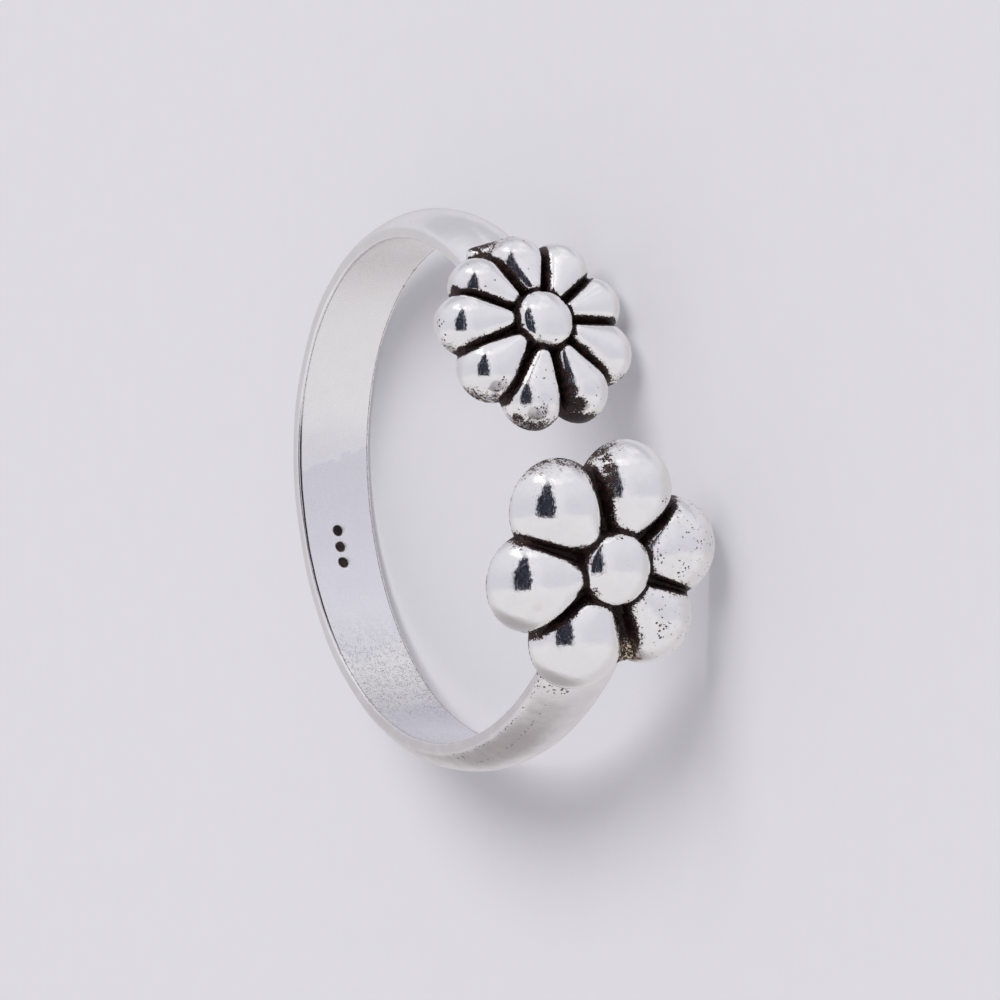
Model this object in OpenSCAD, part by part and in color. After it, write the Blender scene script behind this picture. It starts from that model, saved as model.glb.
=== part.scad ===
// Open, adjustable toe ring: a half-round band whose two ends carry flowers.
// The band, the small flower and the large flower are one casting.
// Working frame: x points from the middle of the ring to the opening, y to the
// small flower's side, z along the ring's axis. The last step lays the ring on
// its side, as it comes to rest: on the back of the band and one petal of
// each flower, with the flowers facing -Y.

/* [Band] */
// Inside radius of the upper half, which springs in under the small flower
front_r = 6.75; // [6.3:0.05:7.2]
// Inside radius of the back and the lower half
back_r = 8.7; // [8.2:0.05:9.2]
// Inside radius of the last stretch of the lower arm, where it opens out
arm_r = 9.6; // [9.2:0.05:10.5]
// Width of the band along the ring's axis
band_w = 2.5; // [2:0.05:3]
// Full thickness at the crown of the half-round band
band_t = 0.9; // [0.7:0.05:1.2]
// Height of the straight edge below the half-round
edge_t = 0.35; // [0.2:0.05:0.5]
// Where the band ends inside the small flower
upper_end_deg = 27; // [20:1:34]
// Where the lower arm starts to open out
arm_deg = 283; // [270:1:300]
// Where the lower arm ends inside the large flower
lower_end_deg = 324; // [318:1:328]

/* [Large flower] */
// Position of the flower's middle: to the opening
large_x = 8.6; // [8.4:0.05:9]
// Position of the flower's middle: to the small flower's side
large_y = -3.24; // [-3.6:0.05:-3]
// Position of the flower's middle along the ring's axis
large_z = 0.3; // [0:0.05:0.5]
// Direction that the flower faces
large_face_deg = -7; // [-12:1:-2]
// Radius of the button in the middle
large_button_r = 1.13; // [1:0.01:1.2]
// Height of the button's top above the petals' base
large_button_h = 1.45; // [1.3:0.05:1.6]
// Height of a petal's inner end above the petals' base
large_inner_h = 1.0; // [0.8:0.05:1.1]

/* [Small flower] */
// Position of the flower's middle: to the opening
small_x = 4.36; // [4.2:0.02:4.6]
// Position of the flower's middle: to its own side
small_y = 3.85; // [3.6:0.05:4.1]
// Position of the flower's middle along the ring's axis
small_z = 0.2; // [0:0.05:0.4]
// Direction that the flower faces
small_face_deg = 24; // [20:1:28]
// Radius of the button in the middle
small_button_r = 0.9; // [0.8:0.01:1]
// Height of the button's top above the petals' base
small_button_h = 1.35; // [1.2:0.05:1.5]
// Height of a petal's inner end above the petals' base
small_inner_h = 0.92; // [0.7:0.05:1]

/* [Both flowers] */
// Thickness of the plate under the petals, from their base to the flat back
plate_t = 0.35; // [0.25:0.05:0.5]
// Width of the neck that joins each flower to its arm
neck_w = 2.1; // [1.6:0.1:2.3]

/* [Punched mark] */
// Where the row of three plain punch dots sits on the inside of the band
dots_deg = 198.5; // [190:0.5:210]
// Distance between the dots along the band
dots_gap = 0.52; // [0.45:0.01:0.7]
// Radius of one dot
dot_r = 0.2; // [0.12:0.01:0.22]
// Depth of one dot
dot_depth = 0.06; // [0.03:0.01:0.1]

/* [Hidden] */
$fn = 96;

// one row per petal: direction in the flower's plane, distance of the middle of
// its round end, radius of the round end at its base, height above the base
PETAL_DEG = 0;
PETAL_AT = 1;
PETAL_R = 2;
PETAL_H = 3;
large_petals = [
    [12.5, 2.36, 1.50, 1.12],
    [72.5, 2.34, 1.50, 1.15],
    [133, 2.30, 1.52, 1.15],
    [192, 2.34, 1.49, 1.15],
    [251.5, 2.32, 1.50, 1.12],
    [317, 2.28, 1.42, 1.10],
];
small_petals = [
    [18.5, 2.30, 0.92, 0.88],
    [55, 2.28, 0.95, 0.90],
    [93, 2.10, 0.95, 0.92],
    [133.5, 2.18, 1.02, 0.92],
    [174.5, 2.26, 0.98, 0.92],
    [215, 2.20, 1.00, 0.90],
    [256, 2.28, 0.99, 0.88],
    [297.5, 2.24, 1.00, 0.90],
    [340, 2.30, 1.00, 0.88],
];

// share of the touching cone's size that a petal's cone has
cone_fit = 0.995;

// the upper half of the band turns about this point, so that it meets the back smoothly
front_c = [front_r - back_r, 0];
// the end of the lower arm turns about this point
arm_c = (back_r - arm_r) * [cos(arm_deg), sin(arm_deg)];

// the half-round: radius of the arc through both edges and the crown
crown_t = band_t - edge_t;
dome_r = (pow(band_w / 2, 2) + pow(crown_t, 2)) / (2 * crown_t);

// a cap of base radius r and height h is cut from a ball of this radius
function ball_r(r, h) = (r * r + h * h) / (2 * h);
// height of that ball's middle above the base
function ball_z(r, h) = h - ball_r(r, h);

// ---- how the ring lies ----
// the ring's own axes to those of a flower: x along -z, y along the band, z outwards
function flower_point(at, face, p) = [
    at[0] + p[2] * cos(face) - p[1] * sin(face),
    at[1] + p[2] * sin(face) + p[1] * cos(face),
    at[2] - p[0],
];
function flower_dir(face, n) = [-n[2], n[1] * cos(face) - n[0] * sin(face)];
// the lowest point of one petal, for a floor whose upward direction is n
function petal_foot(at, face, petal, n) =
    let (
        d = flower_dir(face, n) / norm(flower_dir(face, n)),
        ball = ball_r(petal[PETAL_R], petal[PETAL_H]),
        z = ball_z(petal[PETAL_R], petal[PETAL_H]),
        h = max(z - ball * (n[0] * cos(face) + n[1] * sin(face)), -plate_t),
        r = sqrt(ball * ball - (h - z) * (h - z))
    )
    flower_point(at, face, [
        petal[PETAL_AT] * cos(petal[PETAL_DEG]) - r * d[0],
        petal[PETAL_AT] * sin(petal[PETAL_DEG]) - r * d[1],
        h,
    ]);
function lowest(points, n, i = 0, best = undef) =
    i == len(points) ? best
    : lowest(points, n, i + 1,
        (best == undef || points[i] * n < best * n) ? points[i] : best);
function flower_foot(at, face, petals, n) =
    lowest([for (p = petals) petal_foot(at, face, p, n)], n);
// the lowest point of the band's back edge
function band_foot(n) =
    let (d = [n[0], n[1]] / norm([n[0], n[1]]), up = d[1] <= 0)
    [
        (up ? front_c[0] : 0) - ((up ? front_r : back_r) + edge_t) * d[0],
        -((up ? front_r : back_r) + edge_t) * d[1],
        -band_w / 2,
    ];
function unit(v) = v / norm(v);
function plane_up(a, b, c) = let (m = cross(b - a, c - a)) unit(m[2] < 0 ? -m : m);
large_at = [large_x, large_y, large_z];
small_at = [small_x, small_y, small_z];
// the floor touches one petal of each flower and the back of the band
function settle(n, turns) = turns == 0 ? n
    : settle(plane_up(
        flower_foot(large_at, large_face_deg, large_petals, n),
        flower_foot(small_at, small_face_deg, small_petals, n),
        band_foot(n)), turns - 1);
floor_up = settle(unit([0.13, -0.02, 1]), 12);
floor_at = band_foot(floor_up) * floor_up;
// turning about an axis in the ring's plane brings floor_up upright
lean_deg = acos(floor_up[2]);
lean_axis = [floor_up[1], -floor_up[0], 0];
// a point of the ring's own axes after that turn
function laid(v) = let (k = unit(lean_axis))
    v * cos(lean_deg) + cross(k, v) * sin(lean_deg) + k * (k * v) * (1 - cos(lean_deg));
// the points of the outline that lie furthest out, seen from above
back_most = laid([-(back_r + band_t), 0, 0]);
front_most = laid(flower_point(large_at, large_face_deg, [0, 0, large_button_h]));
upper_most = laid([front_c[0], front_r + band_t, 0]);
lower_most = laid([0, -(back_r + band_t), 0]);
middle = [(upper_most[1] + lower_most[1]) / 2, -(back_most[0] + front_most[0]) / 2];

// ---- band ----
module band_section(r) {
    intersection() {
        translate([r, -band_w / 2]) square([band_t + 1, band_w]);
        translate([r + band_t - dome_r, 0]) circle(r = dome_r, $fn = 180);
    }
}

module band_arc(c, r, from_deg, to_deg) {
    translate([c[0], c[1], 0])
        rotate_extrude(angle = to_deg - from_deg, start = from_deg, $fn = 180) band_section(r);
}

module dots() {
    ball = (dot_r * dot_r + dot_depth * dot_depth) / (2 * dot_depth);
    for (i = [-1:1]) {
        rotate([0, 0, dots_deg + i * dots_gap / back_r * 180 / PI])
            translate([back_r + dot_depth - ball, 0, 0.05]) sphere(r = ball, $fn = 48);
    }
}

module band() {
    difference() {
        union() {
            band_arc(front_c, front_r, upper_end_deg, 180);
            band_arc([0, 0], back_r, 180, arm_deg);
            band_arc(arm_c, arm_r, arm_deg, lower_end_deg);
        }
        dots();
    }
}

// ---- flowers ----
// a petal: a ball at its round end and a small ball at its inner end, joined by
// a cone that lies a hair inside the one that would touch both
module petal(p, inner_at, inner_r, inner_h) {
    big = ball_r(p[PETAL_R], p[PETAL_H]);
    zb = ball_z(p[PETAL_R], p[PETAL_H]);
    zi = inner_h - inner_r;
    run = p[PETAL_AT] - inner_at;
    rise = zi - zb;
    long = norm([run, rise]);
    slope = asin((big - inner_r) / long);
    rotate([0, 0, p[PETAL_DEG]])
        translate([p[PETAL_AT], 0, zb])
            rotate([0, -90 + atan2(rise, run), 0]) {
                sphere(r = big, $fn = 72);
                translate([0, 0, long]) sphere(r = inner_r, $fn = 72);
                translate([0, 0, big * sin(slope) * cone_fit])
                    cylinder(
                        r1 = big * cos(slope) * cone_fit,
                        r2 = inner_r * cos(slope) * cone_fit,
                        h = long + (inner_r - big) * sin(slope) * cone_fit,
                        $fn = 72
                    );
            }
}

module button(r, h) {
    cap = 0.45 * r;
    ball = ball_r(r, cap);
    translate([0, 0, -plate_t / 2]) cylinder(r = r, h = h - cap + plate_t / 2, $fn = 72);
    intersection() {
        translate([0, 0, h - ball]) sphere(r = ball, $fn = 96);
        translate([0, 0, h - cap - 0.01]) cylinder(r = r, h = cap + 1, $fn = 72);
    }
}

module flower(petals, inner_at, inner_r, inner_h, plate_r, button_r, button_h) {
    intersection() {
        union() {
            for (p = petals) petal(p, inner_at, inner_r, inner_h);
            translate([0, 0, -plate_t]) cylinder(r = plate_r, h = plate_t + 0.1, $fn = 96);
            // the middle of the plate stands higher, under the petals' inner ends
            translate([0, 0, -plate_t]) cylinder(r = inner_at + 0.15, h = plate_t + inner_h - inner_r, $fn = 96);
            button(button_r, button_h);
        }
        translate([0, 0, -plate_t]) cylinder(r = 6, h = 6, $fn = 96);
    }
}

module place(at, face) {
    translate(at) rotate([0, 0, face]) rotate([0, 90, 0]) children();
}

module large_flower() {
    place(large_at, large_face_deg)
        flower(large_petals, 1.45, 0.55, large_inner_h, 3.0, large_button_r, large_button_h);
}

module small_flower() {
    place(small_at, small_face_deg)
        flower(small_petals, 1.2, 0.3, small_inner_h, 2.7, small_button_r, small_button_h);
}

// a wedge of metal fills the corner between an arm and the flower's flat back
module neck(c, r, arm_near, arm_far, at, face, from_y, to_y) {
    arm_pt = function (deg) [c[0] + (r + band_t / 2) * cos(deg), c[1] + (r + band_t / 2) * sin(deg)];
    fl_pt = function (y) [at[0] - y * sin(face), at[1] + y * cos(face)];
    mid = (arm_near + arm_far) / 2;
    linear_extrude(height = neck_w, center = true)
        polygon([arm_pt(arm_near), arm_pt(mid), arm_pt(arm_far), fl_pt(from_y), fl_pt(to_y)]);
}

module toe_ring() {
    color([0.83, 0.83, 0.85])
        // lay the ring on the floor with its flowers to -Y
        translate([-middle[0], -middle[1], -floor_at])
            rotate([0, 0, -90])
                rotate(a = lean_deg, v = lean_axis) {
                    band();
                    large_flower();
                    small_flower();
                    neck(arm_c, arm_r, 314, 323, large_at, large_face_deg, -1, -2.9);
                    neck(front_c, front_r, 58, 36, small_at, small_face_deg, 0.9, 2.8);
                }
}

toe_ring();
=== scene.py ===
import math

import bmesh
import bpy
import numpy as np
from mathutils import Matrix, Vector


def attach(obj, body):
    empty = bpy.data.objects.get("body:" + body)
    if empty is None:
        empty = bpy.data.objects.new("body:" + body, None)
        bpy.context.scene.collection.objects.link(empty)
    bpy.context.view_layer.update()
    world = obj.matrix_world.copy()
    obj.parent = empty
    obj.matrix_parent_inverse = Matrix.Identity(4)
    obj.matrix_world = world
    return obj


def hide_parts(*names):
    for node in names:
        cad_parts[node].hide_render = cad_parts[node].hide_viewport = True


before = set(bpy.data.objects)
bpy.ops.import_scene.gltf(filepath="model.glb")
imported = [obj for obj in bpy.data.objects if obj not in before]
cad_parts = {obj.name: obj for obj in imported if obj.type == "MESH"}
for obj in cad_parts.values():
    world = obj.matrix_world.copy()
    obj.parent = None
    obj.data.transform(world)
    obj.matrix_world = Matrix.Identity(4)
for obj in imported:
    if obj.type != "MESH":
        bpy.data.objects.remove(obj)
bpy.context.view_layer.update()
MM = 0.001

# ---------------------------------------------------------------- the ring's own frame
# p towards the opening, q towards the small flower's side, z along the ring's axis, in mm.
# The ring then lies on the floor on the back of its band and one petal of each flower.
FLOOR_UP = np.array([0.129955, -0.0128877, 0.991436])
FLOOR_AT = -2.41991
MIDDLE = (-0.975739, -0.196804)

FRONT_R, BACK_R, ARM_R = 6.75, 8.7, 9.6
BAND_W, BAND_T, EDGE_T = 2.5, 0.9, 0.35
UPPER_END, ARM_DEG, LOWER_END = 27.0, 283.0, 324.0
FRONT_C = np.array([FRONT_R - BACK_R, 0.0])
ARM_C = (BACK_R - ARM_R) * np.array([math.cos(math.radians(ARM_DEG)), math.sin(math.radians(ARM_DEG))])
CROWN = BAND_T - EDGE_T
DOME_R = ((BAND_W / 2) ** 2 + CROWN**2) / (2 * CROWN)
PLATE_T = 0.35
DOTS_DEG, DOTS_GAP, DOT_R, DOT_DEPTH = 198.5, 0.52, 0.2, 0.06


def turn_matrix():
    up = FLOOR_UP / np.linalg.norm(FLOOR_UP)
    lean = math.acos(up[2])
    k = np.array([up[1], -up[0], 0.0])
    k /= np.linalg.norm(k)
    K = np.array([[0, -k[2], k[1]], [k[2], 0, -k[0]], [-k[1], k[0], 0]])
    lay = np.eye(3) + math.sin(lean) * K + (1 - math.cos(lean)) * K @ K
    return np.array([[0, 1, 0], [-1, 0, 0], [0, 0, 1]], float) @ lay


TURN = turn_matrix()
SHIFT = np.array([-MIDDLE[0], -MIDDLE[1], -FLOOR_AT])


def to_world(ring_points):
    return (np.asarray(ring_points, float) @ TURN.T + SHIFT) * MM


# ---------------------------------------------------------------- flowers
# a row per petal: direction, distance of its round end, radius there, height
LARGE = dict(
    at=np.array([8.6, -3.24, 0.3]),
    face=math.radians(-7),
    petals=[
        (12.5, 2.36, 1.50, 1.12),
        (72.5, 2.34, 1.50, 1.15),
        (133, 2.30, 1.52, 1.15),
        (192, 2.34, 1.49, 1.15),
        (251.5, 2.32, 1.50, 1.12),
        (317, 2.28, 1.42, 1.10),
    ],
    # a row per groove: direction, reach, half-width at the button and at the rim, floor height there
    grooves=[
        (42, 3.3, 0.12, 0.03, 0.30, 0.25),
        (103, 3.4, 0.18, 0.11, 0.25, 0.15),
        (164, 3.3, 0.12, 0.03, 0.30, 0.25),
        (220, 3.3, 0.13, 0.04, 0.30, 0.25),
        (289, 3.6, 0.11, 0.19, 0.15, 0.05),
        (344, 3.3, 0.11, 0.03, 0.30, 0.25),
    ],
    inner=(1.45, 0.55, 1.0),
    plate_r=3.0,
    button=(1.13, 1.45),
    arm=(ARM_C, ARM_R, 309.0, 323.5),
    joint=0.20,
    feet=[],
    # a row per patch of sulphide beside a groove or on a rim: place in the ring's frame, radius, amount; these rows
    # along the wide groove are partly sulphide and partly a painted reflection of the studio's dark side on the petal
    # beside it
    stains=[
        (8.93, 0.17, 0.53, 0.36, 0.42),
        (9.29, -0.01, 0.49, 0.30, 0.40),
        (9.50, -0.30, 0.55, 0.28, 0.42),
        (9.63, -0.66, 0.56, 0.27, 0.42),
        (9.61, -1.02, 0.49, 0.24, 0.40),
        (9.54, -1.45, 0.39, 0.20, 0.38),
    ],
    step=0.067,
    reach=4.05,
    top=1.6,
)
SMALL = dict(
    at=np.array([4.36, 3.85, 0.2]),
    face=math.radians(24),
    petals=[
        (18.5, 2.30, 0.92, 0.88),
        (55, 2.28, 0.95, 0.90),
        (93, 2.10, 0.95, 0.92),
        (137.5, 2.11, 0.93, 0.90),
        (174.5, 2.26, 0.98, 0.92),
        (215, 2.20, 1.00, 0.90),
        (256, 2.28, 0.99, 0.88),
        (297.5, 2.24, 1.00, 0.90),
        (340, 2.30, 1.00, 0.88),
    ],
    grooves=[
        (0, 2.9, 0.04, 0.01, 0.30, 0.25),
        (36, 2.9, 0.04, 0.01, 0.30, 0.25),
        (74, 2.9, 0.05, 0.04, 0.28, 0.15),
        (115, 2.8, 0.03, 0.01, 0.28, 0.20),
        (155, 2.9, 0.04, 0.02, 0.30, 0.25),
        (196, 2.9, 0.03, 0.01, 0.30, 0.25),
        (237, 2.9, 0.03, 0.01, 0.30, 0.20),
        (275, 3.0, 0.05, 0.10, 0.28, 0.10),
        (318, 2.9, 0.04, 0.01, 0.30, 0.20),
    ],
    inner=(1.2, 0.3, 0.92),
    plate_r=2.7,
    button=(0.94, 1.33),
    arm=(FRONT_C, FRONT_R, 27.5, 66.0),
    joint=0.10,
    # the top petal's side runs down onto the arm
    feet=[((-0.30, 2.60, 0.02), (-1.15, 2.54, -0.34), 0.42)],
    stains=[
        (3.95, 5.08, 2.70, 0.26, 0.46),
        (5.67, 2.45, -0.16, 0.26, 0.40),
        (5.90, 2.00, -0.26, 0.32, 0.46),
        (5.90, 1.60, -0.42, 0.42, 0.55),
        (5.67, 1.00, 1.15, 0.32, 0.44),
        (5.57, 1.18, 1.45, 0.28, 0.42),
        (5.78, 0.98, 0.78, 0.30, 0.44),
        (5.44, 1.80, 1.80, 0.30, 0.42),
        (5.42, 1.89, 2.14, 0.20, 0.34),
        (4.90, 2.16, -2.19, 0.26, 0.42),
        (4.40, 3.14, 2.83, 0.20, 0.42),
    ],
    step=0.060,
    reach=3.5,
    top=1.5,
)


def local_axes(fl):
    """Columns are the flower's x, y and outward z in the ring's frame."""
    c, s = math.cos(fl["face"]), math.sin(fl["face"])
    return np.array([[0, -s, c], [0, c, s], [-1, 0, 0]], float)


def flower_to_ring(fl, P):
    return P @ local_axes(fl).T + fl["at"]


def ring_to_flower(fl, P):
    return (P - fl["at"]) @ local_axes(fl)


def smin(a, b, k):
    h = np.clip(0.5 + 0.5 * (b - a) / k, 0, 1)
    return b * (1 - h) + a * h - k * h * (1 - h)


def smax(a, b, k):
    return -smin(-a, -b, k)


def round_cone(P, a, b, r1, r2):
    """Distance to a ball of r1 at a and one of r2 at b, joined by their touching cone."""
    ba = b - a
    l2 = ba @ ba
    rr = r1 - r2
    a2 = l2 - rr * rr
    pa = P - a
    y = pa @ ba
    z = y - l2
    x2 = ((pa * l2 - ba[None, :] * y[:, None]) ** 2).sum(1)
    y2, z2 = y * y * l2, z * z * l2
    k = math.copysign(1, rr) * rr * rr * x2
    d = (np.sqrt(x2 * a2 / l2) + y * rr) / l2 - r1
    near_b = np.sign(z) * a2 * z2 > k
    near_a = ~near_b & (np.sign(y) * a2 * y2 < k)
    d = np.where(near_b, np.sqrt(x2 + z2) / l2 - r2, d)
    return np.where(near_a, np.sqrt(x2 + y2) / l2 - r1, d)


def arm_field(R, arm, inset):
    """Distance to the half-round arm, R in the ring's frame."""
    c, r_in, a0, a1 = arm
    x, y = R[:, 0] - c[0], R[:, 1] - c[1]
    r = np.hypot(x, y)
    d = np.maximum(r_in + inset - r, np.abs(R[:, 2]) - BAND_W / 2 + inset)
    d = np.maximum(d, np.hypot(r - (r_in + BAND_T - DOME_R), R[:, 2]) - DOME_R + inset)
    u0 = np.array([math.cos(math.radians(a0)), math.sin(math.radians(a0))])
    u1 = np.array([math.cos(math.radians(a1)), math.sin(math.radians(a1))])
    before = x * u0[1] - y * u0[0]
    after = y * u1[0] - x * u1[1]
    return np.maximum(d, np.maximum(before, after))


def flower_field(fl, P, with_arm=True):
    inner_at, inner_r, inner_h = fl["inner"]
    d = np.full(len(P), 9.0)
    for deg, at, r, h in fl["petals"]:
        t = math.radians(deg)
        u = np.array([math.cos(t), math.sin(t), 0])
        ball = (r * r + h * h) / (2 * h)
        a = u * at + np.array([0, 0, h - ball])
        b = u * inner_at + np.array([0, 0, inner_h - inner_r])
        d = smin(d, round_cone(P, a, b, ball, inner_r), 0.03)
    rho = np.hypot(P[:, 0], P[:, 1])
    z = P[:, 2]
    for a, b, r in fl["feet"]:
        d = smin(d, round_cone(P, np.array(a), np.array(b), r, r * 0.9), 0.05)
    # grooves between the petals, wider and deeper towards the button
    for deg, reach, w0, w1, z0, z1 in fl["grooves"]:
        t = math.radians(deg)
        along = P[:, 0] * math.cos(t) + P[:, 1] * math.sin(t)
        side = -P[:, 0] * math.sin(t) + P[:, 1] * math.cos(t)
        r0 = fl["button"][0] - 0.1
        f = np.clip((along - r0) / (reach - r0), 0, 1)
        w = w0 + (w1 - w0) * f
        floor = z0 + (z1 - z0) * f
        opening = w + np.clip(z - floor, 0, 9) * 0.07
        cut = np.maximum(np.abs(side) - opening, np.maximum(floor - z, r0 - along))
        cut = np.where(along > 0, cut, 9.0)
        d = smax(d, -cut, 0.12)
    # the plate under the petals
    plate = np.maximum(rho - fl["plate_r"], z - 0.12)
    core = np.maximum(rho - (inner_at + 0.1), z - 0.3)
    d = smin(d, smin(plate, core, 0.05), 0.05)
    # the domed button
    br, bh = fl["button"]
    cap = 0.42 * br
    ball = (br * br + cap * cap) / (2 * cap)
    dome = smax(rho - br, np.sqrt(rho**2 + (z - (bh - ball)) ** 2) - ball, 0.16)
    d = smin(d, dome, 0.04)
    # the flat back
    d = smax(d, -(z + PLATE_T), 0.06)
    if with_arm:
        d = smin(d, arm_field(flower_to_ring(fl, P), fl["arm"], 0.03), fl["joint"])
    return d


def surface_net(field, lo, hi, step):
    """A closed quad mesh on the field's zero surface."""
    n = [int(math.ceil((b - a) / step)) + 1 for a, b in zip(lo, hi)]
    axes = [lo[i] + step * np.arange(n[i]) for i in range(3)]
    G = np.stack(np.meshgrid(*axes, indexing="ij"), -1).reshape(-1, 3)
    V = np.concatenate([field(G[i : i + 400000]) for i in range(0, len(G), 400000)]).reshape(n)
    inside = V < 0
    cells = tuple(k - 1 for k in n)
    total = np.zeros(cells + (3,))
    count = np.zeros(cells)
    crossing = []
    for ax in range(3):
        s0 = [slice(None)] * 3
        s1 = [slice(None)] * 3
        s0[ax], s1[ax] = slice(None, -1), slice(1, None)
        a, b = V[tuple(s0)], V[tuple(s1)]
        cross = inside[tuple(s0)] != inside[tuple(s1)]
        t = np.where(cross, a / np.where(cross, a - b, 1), 0)
        crossing.append(cross)
        idx = np.indices(a.shape).astype(float)
        idx[ax] += t
        pos = np.moveaxis(idx, 0, -1) * cross[..., None]
        o1, o2 = [i for i in range(3) if i != ax]
        for d1 in (0, 1):
            for d2 in (0, 1):
                s = [slice(None)] * 3
                s[o1] = slice(d1, d1 + cells[o1])
                s[o2] = slice(d2, d2 + cells[o2])
                total += pos[tuple(s)]
                count += cross[tuple(s)]
    used = count > 0
    number = np.full(cells, -1)
    number[used] = np.arange(used.sum())
    verts = total[used] / count[used][:, None] * step + np.array(lo)
    quads = []
    for ax in range(3):
        o1, o2 = [(1, 2), (2, 0), (0, 1)][ax]
        at = np.argwhere(crossing[ax])
        keep = (at[:, o1] > 0) & (at[:, o2] > 0) & (at[:, o1] < cells[o1]) & (at[:, o2] < cells[o2])
        at = at[keep]
        corner = []
        for d1, d2 in ((-1, -1), (0, -1), (0, 0), (-1, 0)):
            c = at.copy()
            c[:, o1] += d1
            c[:, o2] += d2
            corner.append(number[c[:, 0], c[:, 1], c[:, 2]])
        q = np.stack(corner, 1)
        inward = ~inside[at[:, 0], at[:, 1], at[:, 2]]
        q[inward] = q[inward][:, ::-1]
        quads.append(q)
    quads = np.concatenate(quads)
    for _ in range(2):
        g = gradient(field, verts)
        move = field(verts)[:, None] * g / np.maximum((g * g).sum(1), 0.2)[:, None]
        verts -= np.clip(move, -0.4 * step, 0.4 * step)
    return verts, quads


def gradient(field, P, e=0.004):
    g = np.empty_like(P)
    for i in range(3):
        d = np.zeros(3)
        d[i] = e
        g[:, i] = (field(P + d) - field(P - d)) / (2 * e)
    return g


# ---------------------------------------------------------------- band
def band_line():
    """Points of the band's inner line, with a soft change of radius where the arcs meet."""
    parts = [(FRONT_C, FRONT_R, UPPER_END - 24, 180), ((0, 0), BACK_R, 180, ARM_DEG), (ARM_C, ARM_R, ARM_DEG, LOWER_END + 16)]
    pts = []
    for c, r, a, b in parts:
        m = int(abs(b - a) * math.pi / 180 * r / 0.05)
        t = np.radians(np.linspace(a, b, m, endpoint=False))
        pts.append(np.stack([c[0] + r * np.cos(t), c[1] + r * np.sin(t)], 1))
    pts = np.concatenate(pts)
    k = np.arange(-40, 41) * 0.05
    w = np.exp(-0.5 * (k / 0.7) ** 2)
    w /= w.sum()
    soft = np.stack([np.convolve(pts[:, i], w, mode="valid") for i in range(2)], 1)
    # the smoothing draws an arc in a little; put it back
    tangent = np.gradient(soft, axis=0)
    tangent /= np.linalg.norm(tangent, axis=1)[:, None]
    out = np.stack([tangent[:, 1], -tangent[:, 0]], 1)
    return soft + out * 0.03


def section():
    """The half-round section as (distance from the inner line, across), with eased corners."""
    w = BAND_W / 2
    ease = 0.07
    corner_in = [(ease - ease * math.cos(t), w - ease + ease * math.sin(t)) for t in np.linspace(0, math.pi / 2, 5)]
    flat = [(0.0, y) for y in np.linspace(0, w - ease, 10)[:-1]]
    wall = [(EDGE_T * f, w) for f in (0.35, 0.55, 0.75)]
    dome = []
    for f in np.linspace(0, 1, 26):
        y = w * (1 - f) ** 1.15
        x = BAND_T - DOME_R + math.sqrt(DOME_R**2 - y * y)
        # ease the edge between the wall and the dome
        dip = 0.03 * math.exp(-(((w - y) / 0.05) ** 1))
        dome.append((x - dip * 0.6, y - dip * 0.6))
    half = flat + corner_in + wall + dome
    other = [(x, -y) for x, y in half[1:-1]]
    return np.array(half + other[::-1])


def band_mesh():
    line = band_line()
    # trim to the real ends
    def cut(c, deg, pts, keep_after):
        a = np.degrees(np.arctan2(pts[:, 1] - c[1], pts[:, 0] - c[0])) % 360
        return a >= deg if keep_after else a <= deg
    first = cut(FRONT_C, UPPER_END, line, True) | (np.arange(len(line)) > len(line) / 2)
    last = cut(ARM_C, LOWER_END, line, False) | (np.arange(len(line)) < len(line) / 2)
    line = line[first & last]
    s = np.concatenate([[0], np.cumsum(np.linalg.norm(np.diff(line, axis=0), axis=1))])
    m = int(s[-1] / 0.125)
    t = np.linspace(0, s[-1], m)
    line = np.stack([np.interp(t, s, line[:, i]) for i in range(2)], 1)
    tangent = np.gradient(line, axis=0)
    tangent /= np.linalg.norm(tangent, axis=1)[:, None]
    out = np.stack([tangent[:, 1], -tangent[:, 0]], 1)
    sec = section()
    k = len(sec)
    # hand filing leaves the width and thickness a little uneven
    ripple = 0.012 * np.sin(t * 1.1 + 0.7) + 0.008 * np.sin(t * 2.3 + 2.0)
    verts = np.empty((m, k, 3))
    for j, (d, w) in enumerate(sec):
        dd = d * (1 + ripple * 0.8)
        verts[:, j, :2] = line + out * dd[:, None]
        verts[:, j, 2] = w * (1 + ripple * 0.5)
    quads = []
    i = np.arange(m - 1)[:, None]
    j = np.arange(k)[None, :]
    a = i * k + j
    b = i * k + (j + 1) % k
    quads = np.stack([a, b, b + k, a + k], -1).reshape(-1, 4)
    return verts.reshape(-1, 3), quads, [list(range(k))[::-1], [(m - 1) * k + x for x in range(k)]]


def make_object(name, verts, quads, extra=()):
    faces = [tuple(q) for q in quads.tolist()] + [tuple(f) for f in extra]
    mesh = bpy.data.meshes.new(name)
    mesh.from_pydata(verts.tolist(), [], faces)
    mesh.update()
    obj = bpy.data.objects.new(name, mesh)
    bpy.context.scene.collection.objects.link(obj)
    bm = bmesh.new()
    bm.from_mesh(mesh)
    bmesh.ops.recalc_face_normals(bm, faces=bm.faces[:])
    bm.to_mesh(mesh)
    bm.free()
    return obj


def combine(obj, other, operation):
    mod = obj.modifiers.new("join", "BOOLEAN")
    mod.operation = operation
    mod.object = other
    try:
        mod.solver = "MANIFOLD"
    except TypeError:
        mod.solver = "EXACT"
    dg = bpy.context.evaluated_depsgraph_get()
    mesh = bpy.data.meshes.new_from_object(obj.evaluated_get(dg))
    obj.modifiers.clear()
    obj.data = mesh
    bpy.data.objects.remove(other)


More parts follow.
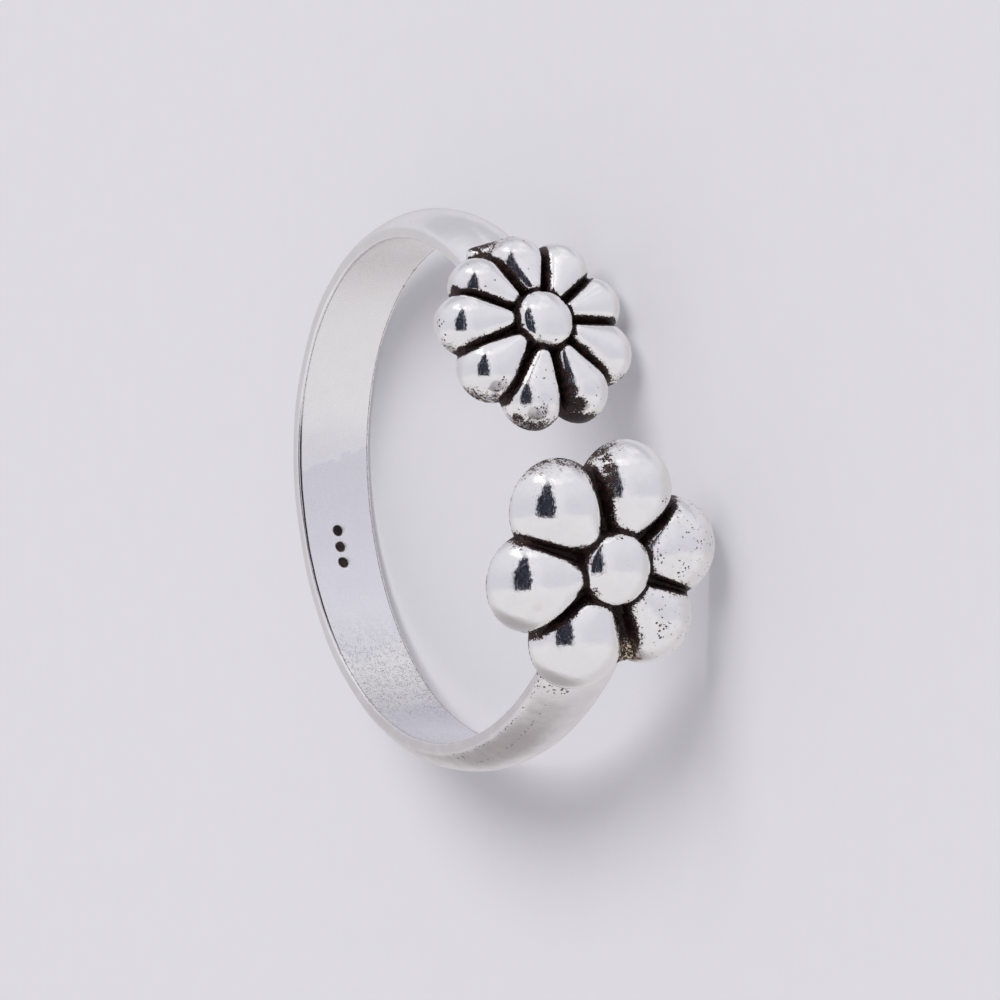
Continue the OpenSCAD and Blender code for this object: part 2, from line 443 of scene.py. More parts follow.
# Everything is joined at ten times life size, in mm, and then laid down in metres.
SCALE = 10.0
verts, quads, caps = band_mesh()
ring = make_object("toe_ring_silver", verts * SCALE, quads, caps)
for label, fl in (("small", SMALL), ("large", LARGE)):
    half = np.array([fl["reach"], fl["reach"] + 0.5, 1.75])
    mid = np.array([0, 0, fl["top"] - 1.75])

    def bounded(P, fl=fl, half=half, mid=mid):
        # the arm ends inside the band, within the grid
        return np.maximum(flower_field(fl, P), (np.abs(P - mid) - half + 0.11).max(1))

    v, q = surface_net(bounded, mid - half, mid + half, fl["step"])
    print(label, "flower", len(v), "points")
    combine(ring, make_object(label, flower_to_ring(fl, v) * SCALE, q), "UNION")
ball = (DOT_R**2 + DOT_DEPTH**2) / (2 * DOT_DEPTH)
for i in (-1, 0, 1):
    t = math.radians(DOTS_DEG) + i * DOTS_GAP / BACK_R
    r = BACK_R + DOT_DEPTH - ball
    bm = bmesh.new()
    bmesh.ops.create_icosphere(bm, subdivisions=5, radius=ball * SCALE)
    bmesh.ops.translate(bm, verts=bm.verts, vec=(r * math.cos(t) * SCALE, r * math.sin(t) * SCALE, 0.05 * SCALE))
    mesh = bpy.data.meshes.new("dot")
    bm.to_mesh(mesh)
    bm.free()
    dot = bpy.data.objects.new("dot", mesh)
    bpy.context.scene.collection.objects.link(dot)
    combine(ring, dot, "DIFFERENCE")


def drop_crumbs(mesh):
    """Removes the few-faced closed crumbs that a Boolean can leave inside."""
    bm = bmesh.new()
    bm.from_mesh(mesh)
    seen = set()
    crumbs = []
    for start in bm.verts:
        if start in seen:
            continue
        seen.add(start)
        island, queue = [start], [start]
        while queue:
            for e in queue.pop().link_edges:
                for v in e.verts:
                    if v not in seen:
                        seen.add(v)
                        island.append(v)
                        queue.append(v)
        if len(island) < 500:
            crumbs += island
    bmesh.ops.delete(bm, geom=crumbs, context="VERTS")
    bm.to_mesh(mesh)
    bm.free()
    print("crumb points removed:", len(crumbs))


drop_crumbs(ring.data)

mesh = ring.data
count = len(mesh.vertices)
R = np.empty(count * 3)
mesh.vertices.foreach_get("co", R)
R = R.reshape(-1, 3) / SCALE

# ---------------------------------------------------------------- what the material reads from the shape
bm = bmesh.new()
bm.from_mesh(mesh)
open_edges = sum(1 for e in bm.edges if not e.is_manifold)
bm.free()
print("points", count, "faces", len(mesh.polygons), "open edges", open_edges)


def ease(x, lo, hi):
    t = np.clip((x - lo) / (hi - lo), 0, 1)
    return t * t * (3 - 2 * t)


def around(angle, centre, width):
    """1 at the centre direction, falling off both ways, in degrees."""
    away = (angle - centre + 180) % 360 - 180
    return np.exp(-0.5 * (away / width) ** 2)


def flower_marks(fl, P, rims, zones):
    """Where the sulphide sits on a flower: in the grooves, on the rims and at the arm; beside the large flower's wide
    groove it is partly painted reflection.
    """
    L = ring_to_flower(fl, P)
    near = (np.hypot(L[:, 0], L[:, 1]) < fl["reach"] + 0.8) & (L[:, 2] > -1.8) & (L[:, 2] < 2.2)
    out = np.zeros((4, len(P)))
    Q = L[near]
    f = lambda X: flower_field(fl, X)
    g = gradient(f, Q)
    n = g / np.maximum(np.linalg.norm(g, axis=1), 1e-6)[:, None]
    occ = np.zeros(len(Q))
    for d, w in ((0.08, 0.9), (0.16, 0.8), (0.3, 0.6), (0.5, 0.4)):
        occ += w * np.clip((d - f(Q + n * d)) / d, 0, 1)
    up = (n @ local_axes(fl).T)[:, 1]
    angle = np.degrees(np.arctan2(Q[:, 1], Q[:, 0])) % 360
    rho = np.hypot(Q[:, 0], Q[:, 1])
    own = np.abs(flower_field(fl, Q, False))
    # the petals' tips are polished almost up to the button
    tip = ease(rho, fl["button"][0], fl["button"][0] + 0.05) * ease(fl["button"][0] + 0.7 - rho, 0.0, 0.4)
    occ *= 1 - 0.45 * tip * ease(Q[:, 2], 0.5, 0.72)
    # sulphide also clings along the edges of the grooves and round the button
    edge = np.where(rho > fl["button"][0], rho - fl["button"][0], 3 * (fl["button"][0] - rho)) + 0.05
    for deg, reach, w0, w1, z0, z1 in fl["grooves"]:
        t = math.radians(deg)
        along = Q[:, 0] * math.cos(t) + Q[:, 1] * math.sin(t)
        side = np.abs(-Q[:, 0] * math.sin(t) + Q[:, 1] * math.cos(t))
        half = w0 + (w1 - w0) * np.clip((along - fl["button"][0]) / (reach - fl["button"][0]), 0, 1)
        edge = np.where(along > fl["button"][0] - 0.2, np.minimum(edge, side - half), edge)
    cling = (0.38 if fl is SMALL else 0.42) * np.exp(-((np.maximum(edge, 0) / (0.068 if fl is SMALL else 0.13)) ** 1.3))
    rim = np.zeros(len(Q))
    for centre, width, amount, way in rims:
        if way > 0:
            face = ease(up, 0.45, 0.9) * ease(0.95 - Q[:, 2], 0.1, 0.8)
        else:
            face = ease(-up, 0.25, 0.8) * ease(0.62 - Q[:, 2], 0.0, 0.6)
        rim = np.maximum(rim, amount * around(angle, centre, width) * face * ease(rho, 1.4, 2.2))
    # the seam where the flower meets the arm, and the foot beside it
    wide = 0.055 if fl is SMALL else 0.10
    seam = ease(wide - np.maximum(own, np.abs(arm_field(flower_to_ring(fl, Q), fl["arm"], 0.03))), 0.0, 0.6 * wide)
    rim = np.maximum(rim, seam * (0.60 * around(angle, 112, 24) if fl is SMALL else 0.16))
    for a, b, r in fl["feet"]:
        foot = np.abs(round_cone(Q, np.array(a), np.array(b), r, r * 0.9))
        rim = np.maximum(rim, 0.03 * ease(0.16 - foot, 0.0, 0.1))
    # sulphide patches; the large flower's rows beside its wide groove are partly painted reflection too
    for x, y, z, r, amount in fl["stains"]:
        rim = np.maximum(rim, amount * ease(r - np.linalg.norm(flower_to_ring(fl, Q) - (x, y, z), axis=1), 0.0, 0.6 * r))
    zone = np.full(len(Q), 0.25)
    for centre, width, amount in zones:
        zone = np.maximum(zone, amount * around(angle, centre, width) * ease(rho, 0.9, 1.3))
    on_flower = ease(Q[:, 2], -PLATE_T - 0.3, -PLATE_T + 0.1) * ease(0.5 - own, 0.3, 0.5)
    rim *= ease(0.3 - own, 0.0, 0.1)
    # the buttons are polished up to their edges
    rim -= 0.16 * ease(fl["button"][0] - rho, -0.02, 0.10) * ease(Q[:, 2], 0.9, 1.0)
    gap = around(angle, 289, 5.0) * ease(rho, 2.1, 2.6) * ease(0.6 - Q[:, 2], 0.0, 0.25) if fl is LARGE else 0
    gap = gap * ease(0.12 - own, 0.0, 0.06)
    out[0, near] = np.maximum(np.clip(occ / 1.5, 0, 1), cling * on_flower) + rim
    out[1, near] = on_flower
    out[2, near] = zone * on_flower
    out[3, near] = gap
    return out


# a row per dark rim: direction, spread, amount, upward or downward faces
small_marks = flower_marks(
    SMALL,
    R,
    [(256, 13, 0.50, -1), (284, 11, 0.72, -1), (222, 12, 0.32, -1), (334, 10, 0.36, -1), (190, 12, 0.22, -1), (88, 14, 0.2, 1), (112, 12, 0.4, 1)],
    [(258, 30, 0.8), (300, 20, 0.6), (120, 40, 0.6)],
)
large_marks = flower_marks(
    LARGE,
    R,
    [(140, 20, 0.36, 1), (101, 9, 0.7, 1), (18, 12, 0.2, 1)],
    [(12, 24, 1.0), (318, 22, 1.0)],
)
cavity, flower_part, zone_part, gap_part = small_marks + large_marks
bm = bmesh.new()
bm.from_mesh(mesh)
bm.normal_update()
turned = np.array([v.normal[:] for v in bm.verts])
bm.free()
radial = R[:, :2] / np.maximum(np.hypot(R[:, 0], R[:, 1]), 1e-6)[:, None]
inward = ease(-(turned[:, :2] * radial).sum(1), 0.7, 0.9) * ease(1.24 - np.abs(R[:, 2]), 0.0, 0.02) * (1 - flower_part)

world = to_world(R)
mesh.vertices.foreach_set("co", world.ravel())
for name, kind, data in (
    ("cavity", "FLOAT", cavity),
    ("flower", "FLOAT", flower_part),
    ("worn", "FLOAT", zone_part),
    ("gap", "FLOAT", gap_part),
    ("inner", "FLOAT", inward),
    ("rc", "FLOAT_VECTOR", R),
):
    att = mesh.attributes.new(name, kind, "POINT")
    att.data.foreach_set("vector" if kind == "FLOAT_VECTOR" else "value", np.ascontiguousarray(data, float).ravel())
mesh.polygons.foreach_set("use_smooth", [True] * len(mesh.polygons))
mesh.update()
for att in list(mesh.attributes):
    if att.name in ("sharp_face", "sharp_edge"):
        mesh.attributes.remove(att)

# ---------------------------------------------------------------- materials
def clean_material(name):
    mat = bpy.data.materials.new(name)
    mat.use_nodes = True
    mat.node_tree.nodes.clear()
    return mat


class Nodes:
    """Short names for building a node tree."""

    def __init__(self, tree):
        self.tree = tree

    def add(self, kind, **props):
        n = self.tree.nodes.new(kind)
        for k, v in props.items():
            setattr(n, k, v)
        return n

    def link(self, a, b):
        self.tree.links.new(a, b)

    def math(self, op, a, b=None, c=None, clamp=False):
        n = self.add("ShaderNodeMath", operation=op, use_clamp=clamp)
        for i, x in enumerate((a, b, c)):
            if x is None:
                continue
            if isinstance(x, (int, float)):
                n.inputs[i].default_value = x
            else:
                self.link(x, n.inputs[i])
        return n.outputs[0]

    def step(self, x, lo, hi, a=0.0, b=1.0):
        n = self.add("ShaderNodeMapRange", interpolation_type="SMOOTHSTEP")
        self.link(x, n.inputs["Value"])
        n.inputs["From Min"].default_value = lo
        n.inputs["From Max"].default_value = hi
        n.inputs["To Min"].default_value = a
        n.inputs["To Max"].default_value = b
        return n.outputs["Result"]

    def dot(self, v, axis):
        n = self.add("ShaderNodeVectorMath", operation="DOT_PRODUCT")
        self.link(v, n.inputs[0])
        n.inputs[1].default_value = axis
        return n.outputs["Value"]

    def noise(self, vec, scale, detail=3.0, rough=0.5, stretch=None, distortion=0.0):
        if stretch is not None:
            m = self.add("ShaderNodeVectorMath", operation="MULTIPLY")
            self.link(vec, m.inputs[0])
            m.inputs[1].default_value = stretch
            vec = m.outputs["Vector"]
        n = self.add("ShaderNodeTexNoise", noise_dimensions="3D")
        self.link(vec, n.inputs["Vector"])
        n.inputs["Scale"].default_value = scale
        n.inputs["Detail"].default_value = detail
        n.inputs["Roughness"].default_value = rough
        n.inputs["Distortion"].default_value = distortion
        return n.outputs["Fac"]

    def dots(self, vec, scale, size, density):
        """Scattered round dots, one in some of the cells; density may be a socket."""
        bend = self.add("ShaderNodeVectorMath", operation="MULTIPLY_ADD")
        n = self.add("ShaderNodeTexNoise", noise_dimensions="3D")
        self.link(vec, n.inputs["Vector"])
        n.inputs["Scale"].default_value = scale * 0.8
        n.inputs["Detail"].default_value = 1.0
        self.link(n.outputs["Color"], bend.inputs[0])
        bend.inputs[1].default_value = (0.9 / scale,) * 3
        self.link(vec, bend.inputs[2])
        v = self.add("ShaderNodeTexVoronoi", voronoi_dimensions="3D", feature="F1")
        self.link(bend.outputs["Vector"], v.inputs["Vector"])
        v.inputs["Scale"].default_value = scale
        parts = self.add("ShaderNodeSeparateColor")
        self.link(v.outputs["Color"], parts.inputs[0])
        limit = self.math("MULTIPLY_ADD", parts.outputs[1], size * 0.6, size * 0.5)
        inside = self.step(self.math("SUBTRACT", v.outputs["Distance"], limit), 0.06, -0.06)
        return self.math("MULTIPLY", inside, self.math("LESS_THAN", parts.outputs[0], density))

    def mix(self, fac, a, b):
        n = self.add("ShaderNodeMix", data_type="RGBA")
        if isinstance(fac, (int, float)):
            n.inputs[0].default_value = fac
        else:
            self.link(fac, n.inputs[0])
        for sock, x in ((n.inputs[6], a), (n.inputs[7], b)):
            if isinstance(x, tuple):
                sock.default_value = (*x, 1.0)
            else:
                self.link(x, sock)
        return n.outputs[2]


# a row per small mark: where, radius, kind; dark pits, brown stains and pale tarnish spots
DARK, BROWN, PALE = 0, 1, 2
SPOTS = [
    (9.42, -4.44, 3.02, 0.22, PALE),
    (9.65, 0.04, -0.40, 0.20, PALE),
    (9.61, -1.97, -1.84, 0.24, PALE),
    (10.05, -3.09, 0.29, 0.045, DARK),
    (10.03, -3.22, 0.24, 0.03, DARK),
    (9.80, -3.46, 1.12, 0.03, DARK),
    (9.46, -5.08, -1.15, 0.30, DARK),
    (9.49, -5.02, -1.37, 0.22, DARK),
    (9.39, -5.40, -1.22, 0.22, DARK),
    (9.65, -3.04, -1.18, 0.26, DARK),
    (9.57, -3.47, -1.91, 0.30, DARK),
    (9.73, -2.64, -2.42, 0.20, DARK),
    (9.76, -1.30, -1.22, 0.20, DARK),
    (6.27, -6.59, 1.25, 0.26, DARK),
    (6.08, -6.80, 1.25, 0.22, DARK),
    (6.34, -6.92, 0.99, 0.28, DARK),
    (6.55, -7.02, 0.59, 0.24, DARK),
    (-1.49, 7.22, 1.11, 0.10, DARK),
    (-5.44, 5.77, -1.20, 0.16, BROWN),
    (-6.15, 5.29, -1.22, 0.12, BROWN),
    (0.89, -9.07, 1.19, 0.26, DARK),
    (1.20, -9.13, 1.09, 0.22, DARK),
    (3.77, 6.13, -0.60, 0.24, BROWN),
    (5.70, 2.28, 2.00, 0.30, DARK),
    (6.06, 1.43, 0.88, 0.30, DARK),
    (5.99, 1.70, -0.58, 0.32, DARK),
    (4.43, 4.06, 3.41, 0.28, DARK),
    (4.49, 3.72, 3.34, 0.28, DARK),
]


def silver_material():
    mat = clean_material("silver")
    t = Nodes(mat.node_tree)
    rc = t.add("ShaderNodeAttribute", attribute_name="rc").outputs["Vector"]
    cav = t.add("ShaderNodeAttribute", attribute_name="cavity").outputs["Fac"]
    flo = t.add("ShaderNodeAttribute", attribute_name="flower").outputs["Fac"]
    worn = t.add("ShaderNodeAttribute", attribute_name="worn").outputs["Fac"]
    gap = t.add("ShaderNodeAttribute", attribute_name="gap").outputs["Fac"]
    inner = t.add("ShaderNodeAttribute", attribute_name="inner").outputs["Fac"]
    parts = t.add("ShaderNodeSeparateXYZ")
    t.link(rc, parts.inputs[0])
    px, py, pz = parts.outputs
    angle = t.math("ARCTAN2", py, px)

    def times(*xs):
        out = xs[0]
        for x in xs[1:]:
            out = t.math("MULTIPLY", out, x)
        return out

    def most(*xs):
        out = xs[0]
        for x in xs[1:]:
            out = t.math("MAXIMUM", out, x)
        return out

    def near(x, at, half, soft):
        off = t.math("ABSOLUTE", t.math("SUBTRACT", x, at))
        if not isinstance(half, float):
            off, half = t.math("SUBTRACT", off, half), 0.0
        return t.step(off, half + soft, half)

    low = t.noise(rc, 1.7, 3, 0.55)
    mid = t.noise(rc, 5.5, 3, 0.6)
    high = t.noise(rc, 15.0, 3, 0.7)
    tiny = t.noise(rc, 27.0, 2, 0.6)

    # dark sulphide left in the grooves, with a broken, speckled edge
    ragged = t.math("MULTIPLY_ADD", low, 0.55, -0.275)
    ragged = t.math("MULTIPLY_ADD", mid, 0.65, t.math("SUBTRACT", ragged, 0.325))
    ragged = t.math("MULTIPLY_ADD", high, 1.15, t.math("SUBTRACT", ragged, 0.575))
    level = t.math("ADD", cav, ragged)
    on = t.step(cav, 0.03, 0.13)
    dark = times(t.step(level, 0.31, 0.38), on)
    brown = times(t.step(level, 0.18, 0.30), on, t.step(tiny, 0.40, 0.56))
    # loose specks beside the grooves and over the worn petals
    beside = t.math("MULTIPLY", t.step(cav, 0.02, 0.30), t.step(low, 0.40, 0.60))
    pitted_zone = times(t.step(worn, 0.3, 1.0), t.step(mid, 0.50, 0.64), 0.34)
    loose = t.dots(rc, 13.0, 0.42, t.math("MULTIPLY_ADD", beside, 0.30, pitted_zone))
    dark = most(dark, times(loose, 0.85))

    # single marks
    marks = {DARK: None, BROWN: None, PALE: None}
    for x, y, z, r, kind in SPOTS:
        n = t.add("ShaderNodeVectorMath", operation="DISTANCE")
        t.link(rc, n.inputs[0])
        n.inputs[1].default_value = (x, y, z)
        m = t.step(n.outputs["Value"], r, r * 0.25)
        marks[kind] = m if marks[kind] is None else t.math("MAXIMUM", marks[kind], m)
    pits = t.dots(rc, 11.0, 0.46, times(marks[DARK], 0.75))
    stain = times(t.step(t.math("MULTIPLY_ADD", marks[BROWN], 0.35, mid), 0.60, 0.78), t.step(marks[BROWN], 0.02, 0.2))
    dark = most(dark, times(pits, 0.9), times(stain, t.step(high, 0.5, 0.6), 0.8))

    # the crease inside each edge of the band, and lines of specks along the lower arm
    wobble = t.noise(angle, 7.0, 3, 0.6)
    beads = t.noise(rc, 11.0, 2, 0.6)
    strong = times(t.step(py, 1.6, 0.4), t.step(py, -6.6, -4.4), t.math("LESS_THAN", px, 0.0))
    near_line = times(near(t.math("MULTIPLY_ADD", wobble, 0.03, pz), 1.178, t.math("MULTIPLY_ADD", strong, 0.010, 0.008), 0.018), inner, t.math("MULTIPLY_ADD", strong, 0.75, t.math("MULTIPLY_ADD", beads, 1.0, -0.16), clamp=True))
    far_line = times(near(t.math("MULTIPLY_ADD", mid, 0.05, pz), -1.150, 0.006, 0.020), inner, t.step(beads, 0.30, 0.62, 0.35, 0.8))
    lower = times(t.step(angle, -0.80, -0.90), t.step(angle, -1.50, -1.40))
    outside = t.math("SUBTRACT", 1.0, most(inner, flo))
    chain = t.dots(rc, 16.0, 0.50, t.step(low, 0.40, 0.66, 0.15, 0.75))
    run1 = near(t.math("MULTIPLY_ADD", mid, 0.05, pz), 1.215, 0.012, 0.02)
    run2 = near(t.math("MULTIPLY_ADD", mid, 0.08, pz), 0.82, 0.022, 0.03)
    lines = most(near_line, times(lower, outside, most(run1, run2), chain, 0.8))

    # three plain round punch dots
    punched = None
    for i in (-1, 0, 1):
        a = math.radians(DOTS_DEG) + i * DOTS_GAP / BACK_R
        n = t.add("ShaderNodeVectorMath", operation="DISTANCE")
        t.link(rc, n.inputs[0])
        n.inputs[1].default_value = ((BACK_R + 0.03) * math.cos(a), (BACK_R + 0.03) * math.sin(a), 0.05)
        d = t.math("MULTIPLY_ADD", mid, 0.05, n.outputs["Value"])
        m = t.step(d, 0.215, 0.175)
        punched = m if punched is None else t.math("MAXIMUM", punched, m)
    dark = most(dark, lines, punched)

    # grey-brown pitting low inside the band
    pitted = times(inner, t.step(t.math("ABSOLUTE", t.math("SUBTRACT", angle, -2.22)), 0.38, 0.10), t.step(tiny, 0.50, 0.62), t.step(mid, 0.36, 0.56))
    dusty = times(inner, t.step(tiny, 0.62, 0.72), t.step(low, 0.5, 0.7))

    # colour
    clean = t.mix(t.step(low, 0.35, 0.65), (0.945, 0.937, 0.925), (0.915, 0.910, 0.912))
    # painted reflection: the inside of the band is tinted warm white on the small flower's side and lavender-grey past
    # the middle, where the table and the room are mirrored; lower down it turns pale grey, and near the lower end a
    # darker lavender-grey
    painted_reflection_side = t.math("MULTIPLY_ADD", low, 1.2, t.math("MULTIPLY_ADD", pz, 0.25, py))
    inside = t.mix(t.step(painted_reflection_side, 0.45, 0.62), (0.835, 0.832, 0.862), (0.925, 0.914, 0.912))
    inside = t.mix(t.step(painted_reflection_side, -5.2, -5.6), inside, (0.90, 0.893, 0.895))
    inside = t.mix(t.step(t.math("MULTIPLY_ADD", mid, 0.8, painted_reflection_side), -6.5, -6.9), inside, (0.80, 0.79, 0.83))
    clean = t.mix(times(inner, 0.9), clean, inside)
    # painted shade: the outside of the lower arm is darkened to a grey-brown, like shade close to where it meets the
    # floor
    painted_arm_shade = times(t.step(angle, -0.68, -0.90), t.step(angle, -2.45, -2.0), outside)
    clean = t.mix(times(painted_arm_shade, t.step(low, 0.25, 0.6, 0.35, 0.6)), clean, (0.72, 0.685, 0.69))
    clean = t.mix(times(t.step(level, 0.06, 0.30), on, 0.28), clean, (0.62, 0.54, 0.47))
    clean = t.mix(times(marks[PALE], t.step(mid, 0.38, 0.5), 0.30), clean, (0.80, 0.74, 0.62))
    clean = t.mix(times(worn, t.step(mid, 0.45, 0.65), 0.30), clean, (0.80, 0.77, 0.73))
    clean = t.mix(most(times(pitted, 0.85), times(dusty, 0.25)), clean, (0.30, 0.26, 0.25))
    clean = t.mix(far_line, clean, (0.20, 0.15, 0.13))
    clean = t.mix(times(brown, 0.9), clean, (0.13, 0.062, 0.048))
    clean = t.mix(times(stain, 0.65), clean, (0.42, 0.36, 0.33))
    soot = t.mix(t.step(mid, 0.4, 0.62), (0.010, 0.006, 0.007), (0.046, 0.021, 0.018))
    plate = times(t.step(gap, 0.35, 0.6), t.step(t.math("ADD", mid, high), 0.88, 1.06))
    colour = t.mix(dark, clean, soot)
    colour = t.mix(plate, colour, t.mix(t.step(high, 0.45, 0.6), (0.06, 0.03, 0.02), (0.66, 0.55, 0.42)))
    dull = t.math("SUBTRACT", dark, plate, clamp=True)

    # fine scratches from wear, and a satin drag along the band
    scr = t.noise(rc, 3.0, 2, 0.6, stretch=(1.0, 1.0, 11.0), distortion=0.4)
    scr2 = t.noise(rc, 6.0, 2, 0.6, stretch=(9.0, 1.3, 1.0), distortion=0.3)
    drag = t.noise(rc, 4.0, 3, 0.65, stretch=(0.5, 0.5, 9.0))
    rough = t.math("MULTIPLY_ADD", t.step(low, 0.38, 0.70), 0.05, 0.055)
    rough = t.math("MULTIPLY_ADD", t.math("SUBTRACT", 1.0, flo), 0.10, rough)
    rough = t.math("MULTIPLY_ADD", inner, 0.10, rough)
    rough = t.math("MULTIPLY_ADD", t.step(scr, 0.55, 0.75), 0.05, rough)
    rough = t.math("MULTIPLY_ADD", times(worn, t.step(mid, 0.45, 0.65)), 0.10, rough)
    rough = t.math("MULTIPLY_ADD", dull, 0.34, rough)

    soft = t.noise(rc, 0.8, 2, 0.5)
    ripple = t.noise(rc, 3.0, 3, 0.6)
    height = t.math("MULTIPLY", soft, 0.022)
    height = t.math("MULTIPLY_ADD", ripple, 0.0075, height)
    height = t.math("MULTIPLY_ADD", times(high, t.math("MULTIPLY_ADD", worn, 0.0022, 0.0006)), 1.0, height)
    height = t.math("MULTIPLY_ADD", t.step(scr, 0.6, 0.7), -0.0006, height)
    height = t.math("MULTIPLY_ADD", t.step(scr2, 0.62, 0.7), -0.0006, height)
    height = t.math("MULTIPLY_ADD", times(inner, drag), 0.003, height)
    height = t.math("MULTIPLY_ADD", most(pits, loose, lines), -0.010, height)
    height = t.math("MULTIPLY_ADD", times(dull, high), -0.030, height)
    bump = t.add("ShaderNodeBump")
    bump.inputs["Strength"].default_value = 1.0
    bump.inputs["Distance"].default_value = MM
    t.link(height, bump.inputs["Height"])

    bsdf = t.add("ShaderNodeBsdfPrincipled")
    t.link(colour, bsdf.inputs["Base Color"])
    t.link(t.math("MULTIPLY_ADD", dull, -0.9, 1.0), bsdf.inputs["Metallic"])
    t.link(rough, bsdf.inputs["Roughness"])
    t.link(bump.outputs["Normal"], bsdf.inputs["Normal"])
    bsdf.inputs["Specular IOR Level"].default_value = 0.35
    out = t.add("ShaderNodeOutputMaterial")
    t.link(bsdf.outputs[0], out.inputs["Surface"])
    return mat


mesh.materials.clear()
mesh.materials.append(silver_material())
mesh.polygons.foreach_set("material_index", [0] * len(mesh.polygons))
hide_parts("toe_ring")
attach(ring, "root")

# ---------------------------------------------------------------- floor
def floor_object():
    bpy.ops.mesh.primitive_plane_add(size=1.6, location=(0, 0, -0.00002))
    floor = bpy.context.object
    floor.name = "floor"
    mat = clean_material("floor_paper")
    t = Nodes(mat.node_tree)
    coord = t.add("ShaderNodeTexCoord").outputs["Object"]
    grain = t.noise(coord, 900.0, 4, 0.6)
    colour = t.mix(grain, (0.735, 0.728, 0.775), (0.755, 0.748, 0.795))
    bsdf = t.add("ShaderNodeBsdfPrincipled")
    bsdf.inputs["Roughness"].default_value = 0.9
    bsdf.inputs["Specular IOR Level"].default_value = 0.15
    t.link(colour, bsdf.inputs["Base Color"])
    out = t.add("ShaderNodeOutputMaterial")
    t.link(bsdf.outputs[0], out.inputs["Surface"])
    floor.data.materials.append(mat)
    # the silver mirrors the studio around it, not the paper that it lies on
    floor.visible_glossy = False
    return floor


floor_object()

# ---------------------------------------------------------------- light
AXIS = {k: tuple(TURN @ np.array(v, float)) for k, v in (("p", (1, 0, 0)), ("q", (0, 1, 0)), ("z", (0, 0, 1)))}
VIEW = np.array([0.8731, 0.0089, 0.4875])
RIGHT = np.array([0.4875, -0.0160, -0.8730])


def sky():
    world = bpy.data.worlds.new("studio")
    bpy.context.scene.world = world
    world.use_nodes = True
    world.node_tree.nodes.clear()
    t = Nodes(world.node_tree)
    way = t.add("ShaderNodeTexCoord").outputs["Generated"]
    up = t.dot(way, AXIS["q"])
    toward = t.dot(way, tuple(TURN @ (VIEW / np.linalg.norm(VIEW))))
    left = t.dot(way, tuple(TURN @ (-RIGHT / np.linalg.norm(RIGHT))))
    # below the line a warm white table, above it a lavender room with a bright panel overhead
    blur = t.noise(way, 3.0, 3, 0.6)
    up_r = t.math("ADD", up, t.math("MULTIPLY_ADD", blur, 0.16, -0.08))
    line = t.step(up_r, -0.31, -0.12)
    across = t.math("ARCTAN2", left, toward)
    room = t.mix(t.step(up_r, 0.1, 0.7), (0.68, 0.672, 0.735), (0.76, 0.755, 0.81))
    beside = t.math("MULTIPLY", t.step(across, -0.75, -0.15), t.step(across, 0.4, 0.1))
    room = t.mix(t.math("MULTIPLY", beside, 0.6), room, (0.84, 0.83, 0.88))
    behind = t.mix(t.step(up_r, 0.15, 0.45), (0.60, 0.585, 0.61), (0.68, 0.672, 0.725))
    behind = t.mix(t.step(up_r, 0.58, 0.66), behind, (0.57, 0.565, 0.615))
    room = t.mix(t.step(toward, -0.1, -0.5), room, behind)
    over = t.math("MULTIPLY", t.step(up_r, 0.78, 0.86), t.step(up_r, 0.985, 0.95))
    over = t.math("MULTIPLY", over, t.math("MULTIPLY", t.step(across, -0.7, 0.3, 0.25, 1.0), t.step(across, 1.9, 1.2)))
    over = t.math("MULTIPLY", over, t.step(t.noise(way, 4.0, 2, 0.6), 0.38, 0.56))
    room = t.mix(over, room, (1.22, 1.21, 1.21))
    table = t.mix(t.step(up, -0.75, -0.2), (0.755, 0.744, 0.765), (0.785, 0.775, 0.800))
    table = t.mix(t.step(toward, -0.05, -0.5), table, (0.66, 0.64, 0.66))
    # the ring's own shade on the table, below and behind
    under = t.dot(way, tuple(TURN @ np.array([-0.6, -0.8, 0.0])))
    table = t.mix(t.step(under, 0.80, 1.0), table, (0.40, 0.375, 0.385))
    colour = t.mix(line, table, room)
    # the dark camera side, narrower upwards
    wide = t.math("MULTIPLY_ADD", t.math("MULTIPLY", up, up), -0.30, 0.37)
    off = t.math("SUBTRACT", t.math("ABSOLUTE", t.math("SUBTRACT", t.math("MULTIPLY_ADD", t.noise(way, 6.5, 3, 0.6), 0.34, t.math("MULTIPLY_ADD", blur, 0.20, across)), 0.55)), wide)
    patch = t.math("MULTIPLY", t.step(off, 0.035, -0.035), t.step(up_r, -0.33, -0.27))
    patch = t.math("MULTIPLY", patch, t.step(up_r, 0.92, 0.82))
    shade = t.mix(t.step(t.noise(way, 9.0, 3, 0.7), 0.40, 0.65), (0.006, 0.006, 0.014), (0.040, 0.040, 0.065))
    colour = t.mix(t.math("MULTIPLY", patch, 0.985), colour, shade)
    back = t.add("ShaderNodeBackground")
    t.link(colour, back.inputs["Color"])
    # the paper is lit evenly, and the camera sees an even room behind it
    path = t.add("ShaderNodeLightPath")
    shader = back.outputs[0]
    for ray, colour in (("Is Diffuse Ray", (0.625, 0.62, 0.63, 1)), ("Is Camera Ray", (0.705, 0.698, 0.742, 1))):
        plain = t.add("ShaderNodeBackground")
        plain.inputs["Color"].default_value = colour
        mix = t.add("ShaderNodeMixShader")
        t.link(path.outputs[ray], mix.inputs[0])
        t.link(shader, mix.inputs[1])
        t.link(plain.outputs[0], mix.inputs[2])
        shader = mix.outputs[0]
    out = t.add("ShaderNodeOutputWorld")
    t.link(shader, out.inputs["Surface"])
    world.cycles.sampling_method = "NONE"


sky()


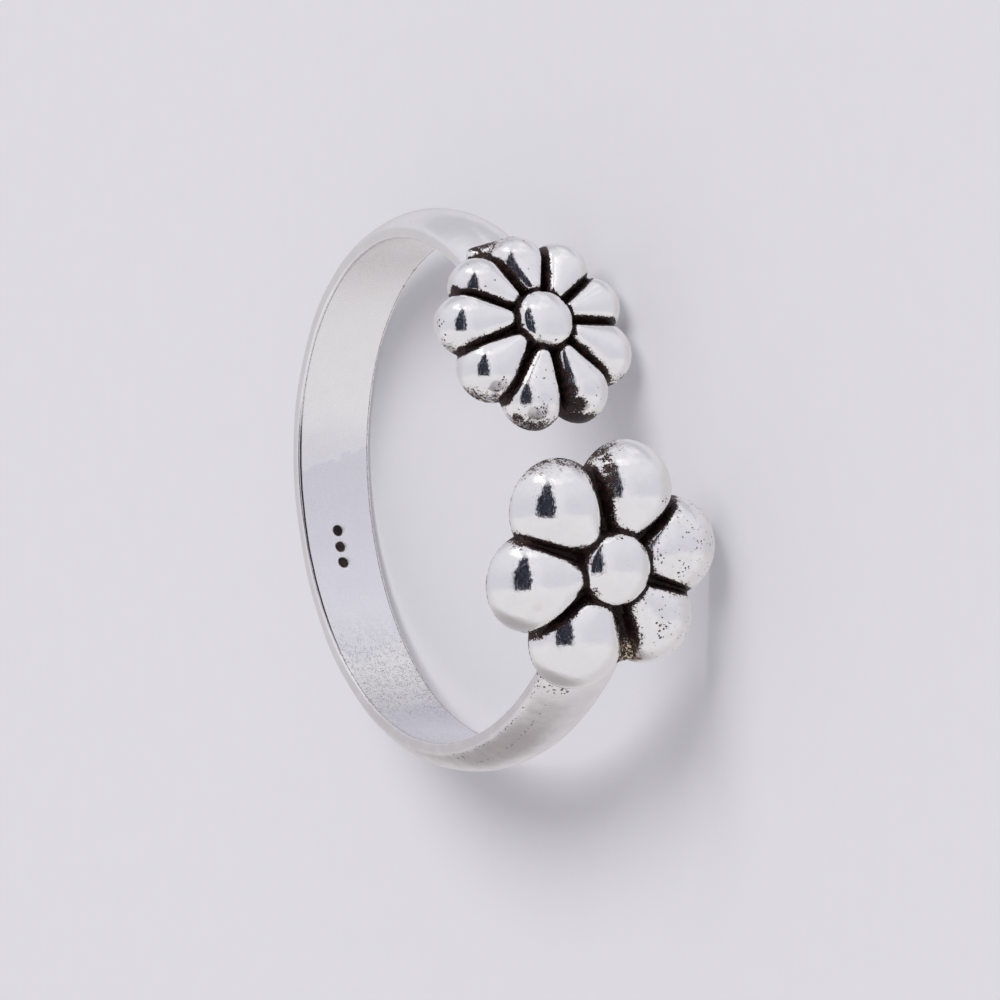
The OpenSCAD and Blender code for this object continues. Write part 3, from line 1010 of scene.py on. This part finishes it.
def soft_sun(name, at, spread, strength, colour):
    """A broad even light, the same all over the paper, from the side of the point given."""
    data = bpy.data.lights.new(name, "SUN")
    data.energy = strength
    data.angle = spread
    data.color = colour
    obj = bpy.data.objects.new(name, data)
    bpy.context.scene.collection.objects.link(obj)
    obj.location = at
    obj.rotation_euler = (-Vector(at)).to_track_quat("-Z", "Y").to_euler()
    obj.visible_glossy = False


soft_sun("soft_top", (0.66, -0.08, 0.74), 0.62, 1.46, (1.0, 0.99, 0.97))

# ---------------------------------------------------------------- camera
DISTANCE, PX_PER_MM, CX, CY = 435.0, 32.75, 470.2, 457.5


def camera():
    data = bpy.data.cameras.new("camera")
    data.sensor_width = 36.0
    data.sensor_fit = "HORIZONTAL"
    data.lens = PX_PER_MM * DISTANCE * 36.0 / 1000.0
    data.clip_start, data.clip_end = 0.01, 10.0
    data.dof.use_dof = False
    obj = bpy.data.objects.new("camera", data)
    bpy.context.scene.collection.objects.link(obj)
    az, el = math.radians(29.18), math.radians(-1.05)
    a = np.array([-math.cos(el) * math.cos(az), math.sin(el), math.cos(el) * math.sin(az)])
    u = np.cross([0, 1, 0], a)
    u /= np.linalg.norm(u)
    v = np.cross(a, u)
    cam_from_ring = np.stack([u, v, a], -1)
    ring_from_cam = cam_from_ring.T
    eye = ring_from_cam @ np.array([0, 0, DISTANCE])
    look = ring_from_cam @ np.array([(500 - CX) / PX_PER_MM, -(500 - CY) / PX_PER_MM, 0])
    back = eye - look
    back /= np.linalg.norm(back)
    up = ring_from_cam @ np.array([0, 1.0, 0])
    right = np.cross(up, back)
    right /= np.linalg.norm(right)
    up = np.cross(back, right)
    rot = TURN @ np.stack([right, up, back], 1)
    m = Matrix.Identity(4)
    pos = to_world(eye)
    for i in range(3):
        for j in range(3):
            m[i][j] = rot[i, j]
        m[i][3] = pos[i]
    obj.matrix_world = m
    bpy.context.scene.camera = obj


camera()
bpy.context.scene.view_settings.view_transform = "Standard"
bpy.context.scene.view_settings.look = "None"

bpy.context.view_layer.update()
